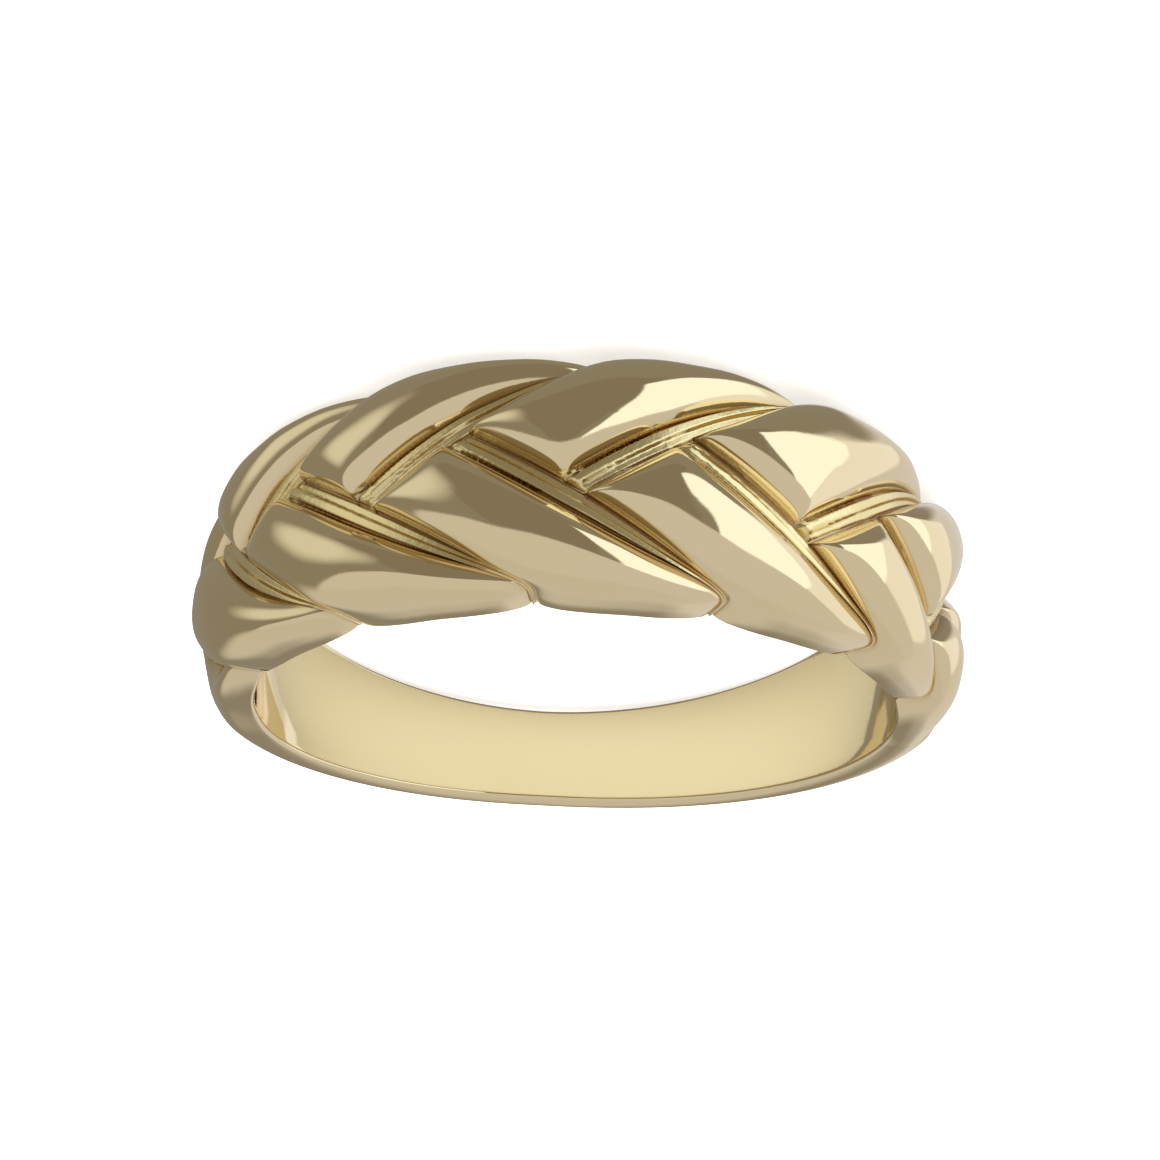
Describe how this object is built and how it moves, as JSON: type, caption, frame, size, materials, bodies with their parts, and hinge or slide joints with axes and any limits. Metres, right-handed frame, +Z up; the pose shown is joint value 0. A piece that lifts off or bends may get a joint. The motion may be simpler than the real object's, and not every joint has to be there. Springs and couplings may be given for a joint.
{
  "type": "finger ring",
  "caption": "Domed, tapering gold band ring whose crown is cast as a herringbone braid of pointed lobes, with a plain narrow shank and a round bore.",
  "frame": {"origin": "centre of the finger bore, midway between its two rims", "axes": "+Z up, with the ring lying on its lower rim as it would by itself, so that the bore's axis leans 5.6 degrees from +Z towards +Y; the braided crown faces -Y and the plain shank is at +Y"},
  "size_m": [0.0212, 0.0213, 0.0068],
  "materials": {
    "polished_gold": "polished yellow gold"
  },
  "bodies": {
    "root": {"braided_band": "polished_gold"}
  },
  "joints": []
}
